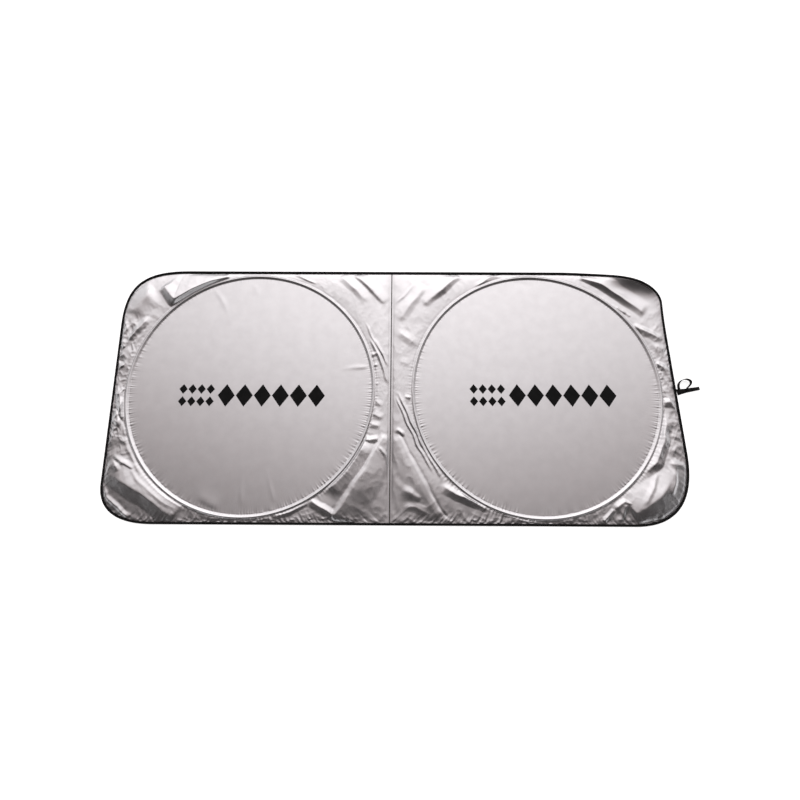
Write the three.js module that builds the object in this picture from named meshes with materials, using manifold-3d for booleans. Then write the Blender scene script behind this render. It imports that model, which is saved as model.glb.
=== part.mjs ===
// Twist-fold windscreen sunshade, lying flat with its silver face up.
// Millimetres, +Z up. The origin is the middle of the shade on the surface that it lies on.
import * as THREE from 'three';
import { mergeVertices } from 'three/addons/utils/BufferGeometryUtils.js';
import Module from 'manifold-3d';

const wasm = await Module();
wasm.setup();

// Spring rings
const ringRadius = 284;
const ringGap = 90.4;
const wireDiameter = 2.2;
const wireEndGap = 1;
const ferruleLength = 20;
const ferruleWall = 0.35;
const ferruleClearance = 0.25;
const leftFerruleBearing = -102;
const rightFerruleBearing = 93;

// Cloth outline: the rings and the cloth left beyond them at the long edges and at the ends
const edgeMargin = 15.5;
const leftEndMargin = 34;
const rightEndMargin = 37.3;
const sideLean = 0.03;
const seamX = -6;

// Rounding of the corners, as shares of the shade's height
const corners = {
  topRight: { along: 0.417, down: 0.14, fullness: 0.625 },
  topLeft: { along: 0.254, down: 0.235, fullness: 0.736 },
  bottomLeft: { along: 0.201, down: 0.143, fullness: 0.654 },
  bottomRight: { along: 0.228, down: 0.262, fullness: 0.658 },
};

// Cloth, tape and the clearance between neighbours
const clothThickness = 0.7;
const tapeThickness = 0.6;
const clearance = 0.3;
const channelTapeWidth = 12;
const bindingWidth = 8;
const bindingFold = 0.6;
const allowanceWidth = 10;

// Strip beside the middle seam that the stitching holds flat
const seamFlat = 2.4;

// Ridge of cloth over each wire
const ridgeTopWidth = 2.6;
const ridgeFootWidth = 7.6;

// Loose cloth between the rings and the binding
const billowHeight = 4.5;
const billowFullWidth = 120;
const gatherHeight = 1.6;

// Shares of the way from ring to binding where the cloth comes free, is held again and gathers
const freeFromRing = { start: -0.3, end: 0.2 };
const heldByBinding = { start: 0.8, end: 1.02 };
const gatherBand = { start: 0.4, end: 0.85 };

// The gathers leave out the upper edge, above this share of half the height
const smoothAbove = 0.9;

// Curl of the top right corner
const cornerCurlHeight = 12;
const cornerCurlReach = 22;
const cornerCurlSpread = 60;
const cornerCurlBearing = 47;

// Elastic strap on the right-hand edge
const strapWidth = 8;
const strapThickness = 1.2;
const strapReach = 53;
const strapTilt = 7;
const strapY = 1;
const strapBaseWidth = 14;
const loopLength = 36;
const loopWidth = 30;

// How finely curves are stepped
const panelSteps = 104;
const wireSteps = 84;
const wireSides = 6;
const strapStepsPerRow = 3;

const floorZ = 0;
const wireRadius = wireDiameter / 2;
const ferruleInner = wireRadius + ferruleClearance;
const ferruleOuter = ferruleInner + ferruleWall;
const clothZ = floorZ + tapeThickness + clearance;
const wireZ = clothZ + ferruleOuter;
const ridgeLift = wireZ + wireRadius + clearance - clothZ;
const ferruleBump = ferruleOuter - wireRadius;
const bindingHeight = clothZ + clothThickness + clearance + bindingFold;
const ringSpacing = 2 * ringRadius + ringGap;
const shadeHeight = 2 * (ringRadius + edgeMargin);
const leftReach = ringSpacing / 2 + ringRadius + leftEndMargin;
const rightReach = ringSpacing / 2 + ringRadius + rightEndMargin;
const halfHeight = shadeHeight / 2;
const sides = [
  { name: 'left', sign: -1, ringX: -ringSpacing / 2, ferruleBearing: leftFerruleBearing },
  { name: 'right', sign: 1, ringX: ringSpacing / 2, ferruleBearing: rightFerruleBearing },
];

// Folds of the loose cloth. Each crest runs between two places, given as a bearing in degrees
// round the ring's centre and a share of the way from the ring to the binding. Heights run
// from start to end, and left and right are the slopes' widths seen along the crest.
// A negative height is a crease pressed into the billow.
const folds = {
  left: [
    // Top left corner: a prow of cloth that hangs towards the ring, and the slope behind it
    { from: [133, 0.75], to: [132, 0.24], height: [6, 9], left: 60, right: 22 },
    { from: [132, 0.24], to: [116, 0.33], height: [9, 6], left: 70, right: 26 },
    { from: [116, 0.33], to: [96, 0.36], height: [5, 2], left: 30, right: 11 },
    { from: [150, 0.89], to: [136, 0.68], height: [5, 5], left: 45, right: 42 },
    { from: [147, 0.24], to: [158, 0.43], height: [4, 4], left: 15, right: 17 },
    // Left edge
    { from: [-172, 0.97], to: [-163, 0.3], height: [-3, -3], left: 15, right: 16 },
    { from: [-152, 0.7], to: [-143, 0.13], height: [4, 3], left: 26, right: 11 },
    { from: [-150, 0.66], to: [-145, 0.41], height: [4, 4], left: 12, right: 12 },
    // Bottom left corner: one high billow, bright above and dark below
    { from: [-146, 0.93], to: [-134, 0.47], height: [7, 11], left: 46, right: 38 },
    { from: [-134, 0.47], to: [-115, 0.87], height: [11, 5], left: 46, right: 36 },
    { from: [-139, 0.94], to: [-129, 1], height: [4, 3], left: 12, right: 12 },
    // Between the left ring and the middle seam
    { from: [-74, 0.41], to: [-58, 0], height: [3, 4], left: 14, right: 20 },
    { from: [-17, 0.92], to: [-54, 0.92], height: [4, 7], left: 22, right: 22 },
    { from: [-25, 0], to: [-24, 0.53], height: [4, 4], left: 30, right: 16 },
    { from: [52, 0.99], to: [43, 0.57], height: [4, 6], left: 35, right: 14 },
    { from: [43, 0.57], to: [34, 0.88], height: [6, 3], left: 35, right: 15 },
    { from: [60, 0.97], to: [39, 0.41], height: [3, 3], left: 32, right: 16 },
    { from: [25, 0.21], to: [7, 0.61], height: [2, 2], left: 8, right: 7 },
  ],
  right: [
    // Between the middle seam and the right ring
    { from: [121, 0.95], to: [140, 0.34], height: [5, 6], left: 15, right: 34 },
    { from: [134, 0.58], to: [153, 0.79], height: [3, 3], left: 18, right: 36 },
    { from: [103, 0.96], to: [112, 0.15], height: [4, 5], left: 9, right: 20 },
    { from: [-165, 0.99], to: [-150, 0.39], height: [-3.5, -4.5], left: 22, right: 26 },
    { from: [-150, 0.39], to: [-125, 0.94], height: [-4.5, -4.5], left: 22, right: 26 },
    { from: [-172, 0.38], to: [-137, 0.08], height: [2.5, 2.5], left: 8, right: 8 },
    { from: [-134, 0.28], to: [-114, 0], height: [3, 3], left: 18, right: 22 },
    // Top right corner: a straight dark fold below a broad bright one
    { from: [68, 1], to: [35, 0.5], height: [7, 7], left: 42, right: 17 },
    { from: [34, 0], to: [22, 0.61], height: [4, 4], left: 36, right: 20 },
    // Right edge
    { from: [12, 0.06], to: [7, 0.96], height: [4, 4], left: 22, right: 16 },
    { from: [-6, 0], to: [-4, 0.82], height: [4, 4], left: 20, right: 22 },
    { from: [-12, 0.03], to: [-38, 0.07], height: [3, 3], left: 14, right: 16 },
    // Bottom right corner: the cloth falls away to the edge
    { from: [-29, 0.97], to: [-39, 0.79], height: [7, 10], left: 55, right: 40 },
    { from: [-39, 0.79], to: [-53, 0.64], height: [10, 7], left: 50, right: 45 },
    { from: [-59, 0.23], to: [-65, 0.87], height: [4, 4], left: 18, right: 18 },
  ],
};

const toRadians = THREE.MathUtils.degToRad;
const clamp = THREE.MathUtils.clamp;
const lerp = THREE.MathUtils.lerp;
const smoothstep = THREE.MathUtils.smoothstep;

// Outline of the cloth, anticlockwise from the middle of the bottom edge
function cornerPoint(signX, signY) {
  const y = signY * halfHeight;
  const x = signX < 0 ? -leftReach : rightReach;
  return new THREE.Vector2(x - sideLean * y, y);
}

function roundCorner(path, corner, from, at, to, fromReach, toReach) {
  const back = from.clone().sub(at).normalize();
  const ahead = to.clone().sub(at).normalize();
  const fromLength = fromReach * shadeHeight;
  const toLength = toReach * shadeHeight;
  const start = at.clone().addScaledVector(back, fromLength);
  const end = at.clone().addScaledVector(ahead, toLength);
  const handle = 1 - corner.fullness;
  const first = at.clone().addScaledVector(back, fromLength * handle);
  const second = at.clone().addScaledVector(ahead, toLength * handle);
  path.lineTo(start.x, start.y);
  path.bezierCurveTo(first.x, first.y, second.x, second.y, end.x, end.y);
}

function outlinePoints() {
  const bottomLeft = cornerPoint(-1, -1);
  const bottomRight = cornerPoint(1, -1);
  const topRight = cornerPoint(1, 1);
  const topLeft = cornerPoint(-1, 1);
  const path = new THREE.Path();
  path.moveTo(seamX, -halfHeight);
  const { along: brAlong, down: brDown } = corners.bottomRight;
  const { along: trAlong, down: trDown } = corners.topRight;
  const { along: tlAlong, down: tlDown } = corners.topLeft;
  const { along: blAlong, down: blDown } = corners.bottomLeft;
  roundCorner(path, corners.bottomRight, bottomLeft, bottomRight, topRight, brAlong, brDown);
  roundCorner(path, corners.topRight, bottomRight, topRight, topLeft, trDown, trAlong);
  roundCorner(path, corners.topLeft, topRight, topLeft, bottomLeft, tlAlong, tlDown);
  roundCorner(path, corners.bottomLeft, topLeft, bottomLeft, bottomRight, blDown, blAlong);
  path.lineTo(seamX, -halfHeight);
  return path.getPoints(48);
}

const outline = outlinePoints();

function crossRay(originX, bearing, a, b) {
  const rayX = Math.cos(bearing);
  const rayY = Math.sin(bearing);
  const edgeX = b.x - a.x;
  const edgeY = b.y - a.y;
  const turn = rayX * edgeY - rayY * edgeX;
  if (Math.abs(turn) < 1e-9) return null;
  const fromX = a.x - originX;
  const distance = (fromX * edgeY - a.y * edgeX) / turn;
  const along = (fromX * rayY - a.y * rayX) / turn;
  if (distance <= 0 || along < 0 || along > 1) return null;
  return { distance, normal: new THREE.Vector2(-edgeY, edgeX).normalize() };
}

// Where a ray from a ring's centre meets the panel's border: the outline or the middle seam
function borderAt(side, bearing) {
  let hit = null;
  for (let i = 0; i < outline.length - 1; i += 1) {
    const found = crossRay(side.ringX, bearing, outline[i], outline[i + 1]);
    if (found && (!hit || found.distance < hit.distance)) hit = found;
  }
  const toSeam = (seamX - side.ringX) / Math.cos(bearing);
  const facesSeam = toSeam > 0 && toSeam < hit.distance;
  const distance = facesSeam ? toSeam : hit.distance;
  const normal = facesSeam ? new THREE.Vector2(side.sign, 0) : hit.normal;
  const point = new THREE.Vector2(Math.cos(bearing), Math.sin(bearing)).multiplyScalar(distance);
  point.x += side.ringX;
  return { point, normal, facesSeam };
}

// Bearings of a panel's spokes, with one exactly on each end of the middle seam
function spokeBearings(side) {
  const seamBearing = Math.atan2(halfHeight, seamX - side.ringX);
  const step = (2 * Math.PI) / panelSteps;
  const bearings = [];
  for (let i = 0; i < panelSteps; i += 1) bearings.push(i * step);
  for (const target of [seamBearing, 2 * Math.PI - seamBearing]) {
    const nearest = Math.round(target / step);
    bearings[nearest % panelSteps] = target;
  }
  return bearings;
}

// A spoke's key places: the outer foot of the ring's ridge, the last loose point and the edge
function makeSpoke(side, bearing) {
  const border = borderAt(side, bearing);
  const seamEnd = Math.abs(Math.abs(border.point.y) - halfHeight) < 0.01
    && Math.abs(border.point.x - seamX) < 0.01;
  const direction = new THREE.Vector2(Math.cos(bearing), Math.sin(bearing));
  const footRadius = ringRadius + ridgeFootWidth / 2;
  const foot = direction.clone().multiplyScalar(footRadius);
  foot.x += side.ringX;
  const bindingInset = bindingWidth + clearance;
  const edgeInset = bindingFold + clearance;
  const seamInset = clearance / 2;
  const loose = border.point.clone();
  const edge = border.point.clone();
  if (seamEnd) {
    const inward = -Math.sign(border.point.y);
    loose.add(new THREE.Vector2(side.sign * seamFlat, inward * bindingInset));
    edge.add(new THREE.Vector2(side.sign * seamInset, inward * edgeInset));
  } else {
    loose.addScaledVector(border.normal, border.facesSeam ? seamFlat : bindingInset);
    edge.addScaledVector(border.normal, border.facesSeam ? seamInset : edgeInset);
  }
  return { bearing, direction, foot, loose, edge, border, seamEnd };
}

function surroundPoint(side, place) {
  const spoke = makeSpoke(side, toRadians(place[0]));
  return spoke.foot.clone().lerp(spoke.loose, place[1]);
}

// Height of one fold above the flat cloth
function placeFold(side, fold) {
  return { ...fold, start: surroundPoint(side, fold.from), end: surroundPoint(side, fold.to) };
}

function foldHeight(fold, point) {
  const run = fold.end.clone().sub(fold.start);
  const offset = point.clone().sub(fold.start);
  const along = clamp(offset.dot(run) / run.lengthSq(), 0, 1);
  const nearest = fold.start.clone().lerp(fold.end, along);
  const slope = run.cross(offset) > 0 ? fold.left : fold.right;
  const fall = Math.max(0, 1 - point.distanceTo(nearest) / slope);
  return lerp(fold.height[0], fold.height[1], along) * fall;
}

// The loose cloth swells between ring and binding, most where it is widest, at the corners
function looseHeight(placedFolds, spoke, share, spokeIndex) {
  const point = spoke.foot.clone().lerp(spoke.loose, share);
  const width = spoke.foot.distanceTo(spoke.loose);
  const room = clamp(width / billowFullWidth, 0, 1);
  const swell = billowHeight * room * Math.sin(Math.PI * Math.sqrt(share));
  const heights = placedFolds.map((fold) => foldHeight(fold, point));
  const height = swell + Math.max(0, ...heights) + Math.min(0, ...heights);
  const free = smoothstep(share, freeFromRing.start, freeFromRing.end);
  const held = smoothstep(share, heldByBinding.start, heldByBinding.end);
  const smooth = spoke.border.facesSeam || spoke.border.point.y > smoothAbove * halfHeight;
  const gatherShare = smooth ? 0 : smoothstep(share, gatherBand.start, gatherBand.end);
  const gather = gatherHeight * (spokeIndex % 2) * gatherShare;
  return (Math.max(height, 0) + gather) * free * (1 - held);
}

// The top right corner curls up off the surface, binding and all
function cornerCurl(side, spoke, point) {
  if (side.sign < 0) return 0;
  const turned = spoke.bearing - toRadians(cornerCurlBearing);
  const sideways = Math.atan2(Math.sin(turned), Math.cos(turned)) * ringRadius;
  const spread = Math.exp(-((sideways / cornerCurlSpread) ** 2));
  const inset = Math.max(point.distanceTo(spoke.border.point) - bindingWidth - clearance, 0);
  return cornerCurlHeight * spread * Math.exp(-inset / cornerCurlReach);
}

// Extra rise of the ridge where the ferrule lies under it
function ferruleRise(side, bearing) {
  const away = Math.abs(Math.atan2(
    Math.sin(bearing - toRadians(side.ferruleBearing)),
    Math.cos(bearing - toRadians(side.ferruleBearing)),
  )) * ringRadius;
  return ferruleBump * (1 - smoothstep(away, ferruleLength, ferruleLength * 2));
}

const looseShares = [0, 0.2, 0.42, 0.64, 0.84, 1];

// One spoke of the panel's underside, from the ring's inner seam out to the edge
function spokeRow(side, placedFolds, spoke, spokeIndex) {
  const centre = new THREE.Vector2(side.ringX, 0);
  const onRidge = (offset, lift) => {
    const point = centre.clone().addScaledVector(spoke.direction, ringRadius + offset);
    return new THREE.Vector3(point.x, point.y, clothZ + lift);
  };
  const lift = ridgeLift + ferruleRise(side, spoke.bearing);
  const row = [
    onRidge(-ridgeFootWidth / 2, 0),
    onRidge(-ridgeTopWidth / 2, lift),
    onRidge(ridgeTopWidth / 2, lift),
  ];
  for (const share of looseShares) {
    const point = spoke.foot.clone().lerp(spoke.loose, share);
    const height = looseHeight(placedFolds, spoke, share, spokeIndex);
    row.push(new THREE.Vector3(point.x, point.y, clothZ + height + cornerCurl(side, spoke, point)));
  }
  const edgeZ = clothZ + cornerCurl(side, spoke, spoke.edge);
  row.push(new THREE.Vector3(spoke.edge.x, spoke.edge.y, edgeZ));
  return row;
}

function geometryFrom(positions, indices) {
  const geometry = new THREE.BufferGeometry();
  geometry.setAttribute('position', new THREE.Float32BufferAttribute(positions, 3));
  geometry.setIndex(indices);
  geometry.computeVertexNormals();
  return geometry;
}

// A sheet of even thickness: upper and lower faces from the same rows, closed at the edge
function sheetGeometry(side, rows) {
  const positions = [];
  const indices = [];
  const ringCount = rows[0].length;
  for (const rise of [0, clothThickness]) {
    positions.push(side.ringX, 0, clothZ + rise);
    for (const row of rows) for (const p of row) positions.push(p.x, p.y, p.z + rise);
  }
  const layer = 1 + rows.length * ringCount;
  const vertex = (up, i, j) => up * layer + 1 + (i % rows.length) * ringCount + j;
  const face = (up, a, b, c) => (up ? indices.push(a, b, c) : indices.push(a, c, b));
  for (const up of [0, 1]) {
    for (let i = 0; i < rows.length; i += 1) {
      face(up, up * layer, vertex(up, i, 0), vertex(up, i + 1, 0));
      for (let j = 0; j < ringCount - 1; j += 1) {
        face(up, vertex(up, i, j), vertex(up, i, j + 1), vertex(up, i + 1, j + 1));
        face(up, vertex(up, i, j), vertex(up, i + 1, j + 1), vertex(up, i + 1, j));
      }
    }
  }
  const last = ringCount - 1;
  for (let i = 0; i < rows.length; i += 1) {
    indices.push(vertex(0, i, last), vertex(0, i + 1, last), vertex(1, i + 1, last));
    indices.push(vertex(0, i, last), vertex(1, i + 1, last), vertex(1, i, last));
  }
  return geometryFrom(positions, indices);
}

// Solid joining
function toSolid(geometry) {
  const bare = geometry.clone();
  bare.deleteAttribute('normal');
  if (bare.attributes.uv) bare.deleteAttribute('uv');
  const merged = mergeVertices(bare, 1e-4);
  return new wasm.Manifold(new wasm.Mesh({
    numProp: 3,
    vertProperties: new Float32Array(merged.attributes.position.array),
    triVerts: new Uint32Array(merged.index.array),
  }));
}

function fromSolid(solid) {
  const mesh = solid.getMesh();
  return geometryFrom(Array.from(mesh.vertProperties), Array.from(mesh.triVerts));
}

// The edge of the panel at the middle seam is turned under and pressed flat
function allowanceGeometry(side) {
  const endInset = bindingWidth + clearance + seamFlat;
  const length = shadeHeight - 2 * endInset;
  const shape = new THREE.Shape();
  const near = clearance / 2;
  const flap = tapeThickness;
  const top = clothZ + clothThickness / 2;
  shape.moveTo(near, floorZ);
  shape.lineTo(allowanceWidth, floorZ);
  shape.lineTo(allowanceWidth, flap);
  shape.lineTo(near + flap, flap);
  shape.lineTo(near + flap, top);
  shape.lineTo(near, top);
  const geometry = new THREE.ExtrudeGeometry(shape, { depth: length, bevelEnabled: false });
  geometry.rotateX(Math.PI / 2);
  geometry.translate(0, length / 2, 0);
  if (side.sign < 0) {
    geometry.rotateZ(Math.PI);
  }
  geometry.translate(seamX, 0, 0);
  return geometry;
}

function makePanel(side) {
  const placedFolds = folds[side.name].map((fold) => placeFold(side, fold));
  const spokes = spokeBearings(side).map((bearing) => makeSpoke(side, bearing));
  const rows = spokes.map((spoke, i) => spokeRow(side, placedFolds, spoke, i));
  const sheet = toSolid(sheetGeometry(side, rows));
  return fromSolid(sheet.add(toSolid(allowanceGeometry(side))));
}

// Edge binding: a tape folded round the edge, swept along the same points as the panels' edges
function bindingStations() {
  const stations = [];
  for (const side of sides) {
    const spokes = spokeBearings(side).map((bearing) => makeSpoke(side, bearing));
    const outer = spokes.filter((spoke) => !spoke.border.facesSeam && !spoke.seamEnd);
    for (const spoke of outer) {
      const fromBottom = Math.atan2(spoke.border.point.x - seamX, -spoke.border.point.y);
      const curl = cornerCurl(side, spoke, spoke.edge);
      stations.push({ ...spoke.border, curl, fromBottom });
    }
  }
  for (const sign of [-1, 1]) {
    const fromBottom = sign < 0 ? 0 : Math.PI;
    const point = new THREE.Vector2(seamX, sign * halfHeight);
    stations.push({ point, normal: new THREE.Vector2(0, -sign), curl: 0, fromBottom });
  }
  const turn = 2 * Math.PI;
  return stations.sort((a, b) => ((a.fromBottom + turn) % turn) - ((b.fromBottom + turn) % turn));
}

function makeBinding() {
  const section = [
    [0, floorZ],
    [bindingWidth, floorZ],
    [bindingWidth, bindingFold],
    [bindingFold, bindingFold],
    [bindingFold, bindingHeight - bindingFold],
    [bindingWidth, bindingHeight - bindingFold],
    [bindingWidth, bindingHeight],
    [0, bindingHeight],
  ];
  const stations = bindingStations();
  const positions = [];
  const indices = [];
  for (const { point, normal, curl } of stations) {
    for (const [inset, z] of section) {
      const place = point.clone().addScaledVector(normal, inset);
      positions.push(place.x, place.y, z + curl);
    }
  }
  const sectionSize = section.length;
  for (let i = 0; i < stations.length; i += 1) {
    const next = (i + 1) % stations.length;
    for (let j = 0; j < sectionSize; j += 1) {
      const after = (j + 1) % sectionSize;
      const a = i * sectionSize + j;
      const b = next * sectionSize + j;
      const c = next * sectionSize + after;
      const d = i * sectionSize + after;
      indices.push(a, c, b, a, d, c);
    }
  }
  return geometryFrom(positions, indices);
}

// Arc of a ring, from one bearing to another
class RingArc extends THREE.Curve {
  constructor(startBearing, sweep) {
    super();
    this.startBearing = startBearing;
    this.sweep = sweep;
  }

  getPoint(t, target = new THREE.Vector3()) {
    const bearing = this.startBearing + t * this.sweep;
    return target.set(ringRadius * Math.cos(bearing), ringRadius * Math.sin(bearing), 0);
  }
}

function roundShape(radius) {
  const shape = new THREE.Shape();
  for (let i = 0; i < wireSides; i += 1) {
    const angle = (2 * Math.PI * i) / wireSides;
    const x = radius * Math.cos(angle);
    const y = radius * Math.sin(angle);
    if (i === 0) shape.moveTo(x, y);
    else shape.lineTo(x, y);
  }
  shape.closePath();
  return shape;
}

function makeWire(side) {
  const gapAngle = wireEndGap / ringRadius;
  const start = toRadians(side.ferruleBearing) + gapAngle / 2;
  return new THREE.ExtrudeGeometry(roundShape(wireRadius), {
    steps: wireSteps,
    bevelEnabled: false,
    extrudePath: new RingArc(start, 2 * Math.PI - gapAngle),
  });
}

function makeFerrule(side) {
  const shape = roundShape(ferruleOuter);
  shape.holes.push(roundShape(ferruleInner));
  const sweep = ferruleLength / ringRadius;
  return new THREE.ExtrudeGeometry(shape, {
    steps: 2,
    bevelEnabled: false,
    extrudePath: new RingArc(toRadians(side.ferruleBearing) - sweep / 2, sweep),
  });
}

// Tape sewn behind each wire, which closes the channel that the wire runs in
function makeChannelTape() {
  const inner = ringRadius - channelTapeWidth / 2;
  const outer = ringRadius + channelTapeWidth / 2;
  const profile = [
    new THREE.Vector2(inner, 0),
    new THREE.Vector2(outer, 0),
    new THREE.Vector2(outer, tapeThickness),
    new THREE.Vector2(inner, tapeThickness),
    new THREE.Vector2(inner, 0),
  ];
  const geometry = new THREE.LatheGeometry(profile, wireSteps);
  geometry.rotateX(Math.PI / 2);
  return geometry;
}

// Elastic strap: out flat, folded back on itself, then turned on edge into a loop
function strapRoute() {
  const low = floorZ + strapThickness / 2;
  const high = low + strapThickness + clearance;
  const onEdge = floorZ + strapThickness + clearance + strapWidth / 2;
  const tip = strapReach - strapThickness;
  const flat = { across: 0, twist: 0, width: strapWidth };
  const outward = [
    { ...flat, out: 0, z: low, width: strapBaseWidth },
    { ...flat, out: strapReach * 0.15, z: low, width: strapWidth * 1.2 },
    { ...flat, out: strapReach * 0.3, z: low },
    { ...flat, out: tip, z: low },
    { ...flat, out: strapReach, z: (low + high) / 2 },
    { ...flat, out: tip, z: high },
  ];
  const back = [
    { ...flat, out: strapReach * 0.8, z: high },
    { ...flat, out: strapReach * 0.65, across: strapWidth * 0.1, z: lerp(high, onEdge, 0.2),
      twist: 25 },
    { ...flat, out: strapReach * 0.5, across: strapWidth * 0.6, z: onEdge, twist: 70 },
  ];
  // The loop's outline as shares of its own length and width
  const loop = [
    [0.66, 0.38], [0.87, 0.56], [1, 0.76], [0.96, 0.94], [0.78, 1],
    [0.52, 0.95], [0.26, 0.76], [0.08, 0.5], [0, 0.24], [0.03, 0.08],
  ];
  const loopStart = strapWidth * 0.75;
  const upright = { z: onEdge, twist: 90, width: strapWidth };
  for (const [along, over] of loop) {
    back.push({ ...upright, out: loopStart + along * loopLength, across: over * loopWidth });
  }
  return { outward, back };
}

// A strap's section, wide across its own axis, at a station of its route
function strapSection(centre, tangent, station, acrossAxis) {
  const up = new THREE.Vector3(0, 0, 1);
  const twist = toRadians(station.twist);
  const level = acrossAxis.clone();
  if (twist > 0) level.crossVectors(tangent, up).normalize();
  const widthAxis = level.multiplyScalar(Math.cos(twist)).addScaledVector(up, Math.sin(twist));
  const thicknessAxis = new THREE.Vector3().crossVectors(tangent, widthAxis).normalize();
  return [[-1, -1], [1, -1], [1, 1], [-1, 1]].map(([w, h]) => centre.clone()
    .addScaledVector(widthAxis, (w * station.width) / 2)
    .addScaledVector(thicknessAxis, (h * strapThickness) / 2));
}

// The looped part runs on a smooth curve, stepped finer than its chosen points
function smoothStations(stations, place) {
  const curve = new THREE.CatmullRomCurve3(stations.map(place), false, 'centripetal');
  const steps = (stations.length - 1) * strapStepsPerRow;
  const smooth = [];
  for (let k = 0; k <= steps; k += 1) {
    const i = Math.min(Math.floor(k / strapStepsPerRow), stations.length - 2);
    const share = k / strapStepsPerRow - i;
    smooth.push({
      centre: curve.getPoint(k / steps),
      width: lerp(stations[i].width, stations[i + 1].width, share),
      twist: lerp(stations[i].twist, stations[i + 1].twist, share),
    });
  }
  return smooth;
}

function makeStrap() {
  const edge = borderAt(sides[1], strapY / (rightReach - sides[1].ringX)).point;
  const tilt = toRadians(strapTilt);
  const startX = edge.x + clearance + (strapBaseWidth / 2) * Math.sin(tilt);
  const place = (row) => new THREE.Vector3(
    startX + row.out * Math.cos(tilt) - row.across * Math.sin(tilt),
    strapY + row.out * Math.sin(tilt) + row.across * Math.cos(tilt),
    row.z,
  );
  const acrossAxis = new THREE.Vector3(-Math.sin(tilt), Math.cos(tilt), 0);
  const { outward, back } = strapRoute();
  const stations = outward.map((row) => ({ ...row, centre: place(row) }));
  stations.push(...smoothStations(back, place));
  const positions = [];
  stations.forEach((station, k) => {
    const before = stations[Math.max(k - 1, 0)].centre;
    const after = stations[Math.min(k + 1, stations.length - 1)].centre;
    const tangent = after.clone().sub(before).normalize();
    for (const corner of strapSection(station.centre, tangent, station, acrossAxis)) {
      positions.push(corner.x, corner.y, corner.z);
    }
  });
  const indices = [];
  const turn = 4;
  for (let k = 0; k < stations.length - 1; k += 1) {
    for (let j = 0; j < turn; j += 1) {
      const a = k * turn + j;
      const b = k * turn + ((j + 1) % turn);
      indices.push(a, b, b + turn, a, b + turn, a + turn);
    }
  }
  const end = (stations.length - 1) * turn;
  indices.push(0, 2, 1, 0, 3, 2, end, end + 1, end + 2, end, end + 2, end + 3);
  return geometryFrom(positions, indices);
}

// Assembly
const silver = { color: 0xc9c7c9, roughness: 0.35, metalness: 0.8 };
const blackTape = { color: 0x0d0c0d, roughness: 0.85, metalness: 0 };
const springSteel = { color: 0x8d9096, roughness: 0.3, metalness: 1 };
const greyTape = { color: 0x8a8a8c, roughness: 0.8, metalness: 0 };

const shade = new THREE.Group();

function addPart(name, geometry, finish, z = 0, x = 0) {
  const mesh = new THREE.Mesh(geometry, new THREE.MeshStandardMaterial(finish));
  mesh.name = name;
  mesh.position.set(x, 0, z);
  shade.add(mesh);
}

for (const side of sides) {
  addPart(`${side.name}_fabric_panel`, makePanel(side), silver);
  addPart(`${side.name}_spring_ring`, makeWire(side), springSteel, wireZ, side.ringX);
  addPart(`${side.name}_ring_ferrule`, makeFerrule(side), springSteel, wireZ, side.ringX);
  addPart(`${side.name}_channel_tape`, makeChannelTape(), greyTape, floorZ, side.ringX);
}
addPart('edge_binding', makeBinding(), blackTape);
addPart('elastic_strap', makeStrap(), blackTape);

export default shade;
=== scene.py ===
# Twist-fold windscreen sunshade lying flat, silver face up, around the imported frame.
# Shapes are worked out in millimetres and turned to metres when a mesh is made.
import math

import bpy
import numpy as np
from mathutils import Matrix, Vector


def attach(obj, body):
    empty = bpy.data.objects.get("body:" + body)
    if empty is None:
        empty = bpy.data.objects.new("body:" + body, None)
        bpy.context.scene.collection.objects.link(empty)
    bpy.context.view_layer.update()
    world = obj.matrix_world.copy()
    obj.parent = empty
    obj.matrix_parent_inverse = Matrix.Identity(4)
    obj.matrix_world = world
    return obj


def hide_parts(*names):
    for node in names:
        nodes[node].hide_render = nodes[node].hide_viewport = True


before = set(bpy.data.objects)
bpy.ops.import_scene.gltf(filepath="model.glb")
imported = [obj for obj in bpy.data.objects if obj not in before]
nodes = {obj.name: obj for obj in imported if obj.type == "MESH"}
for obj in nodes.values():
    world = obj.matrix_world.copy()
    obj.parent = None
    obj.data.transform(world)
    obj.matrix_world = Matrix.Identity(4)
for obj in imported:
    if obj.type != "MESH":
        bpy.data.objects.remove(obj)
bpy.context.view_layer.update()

MM = 0.001

# The shade's own sizes
RING_RADIUS = 284.0
RING_GAP = 90.4
EDGE_MARGIN = 15.5
LEFT_END_MARGIN = 34.0
RIGHT_END_MARGIN = 37.3
SIDE_LEAN = 0.03
SEAM_X = -6.0
# Each corner's reach along the shade and down its end, as shares of its height, and fullness
CORNERS = {
    "top_right": (0.417, 0.14, 0.625),
    "top_left": (0.254, 0.235, 0.736),
    "bottom_left": (0.201, 0.143, 0.654),
    "bottom_right": (0.228, 0.262, 0.658),
}
CLOTH_Z = 0.9
CLOTH_MID = 0.35
RIDGE_LIFT = 3.1
RIDGE_HALF = 3.8
FERRULE_BUMP = 0.6
FERRULE_LENGTH = 20.0
FERRULE_BEARING = {"left": -102.0, "right": 93.0}
BINDING_WIDTH = 8.0
BINDING_SHOWN = {"left": 4.6, "right": 5.2, "bottom": 5.4, "top": 6.8}
EDGE_TUCK = 0.9
SEAM_TUCK = 0.75
SEAM_SINK = 0.6
CLEARANCE = 0.3
SEAM_FLAT = 2.4
SEAM_FAN = 0.4

# Curled top right corner, a little higher than the solid's: its lift at the edge, how far in
# the full lift runs, over how much more it falls away, its width along the ring, its bearing
CURL_HEIGHT = 15.0
CURL_START = 6.5
CURL_REACH = 36.0
CURL_SPREAD = 55.0
CURL_BEARING = 47.0

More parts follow.
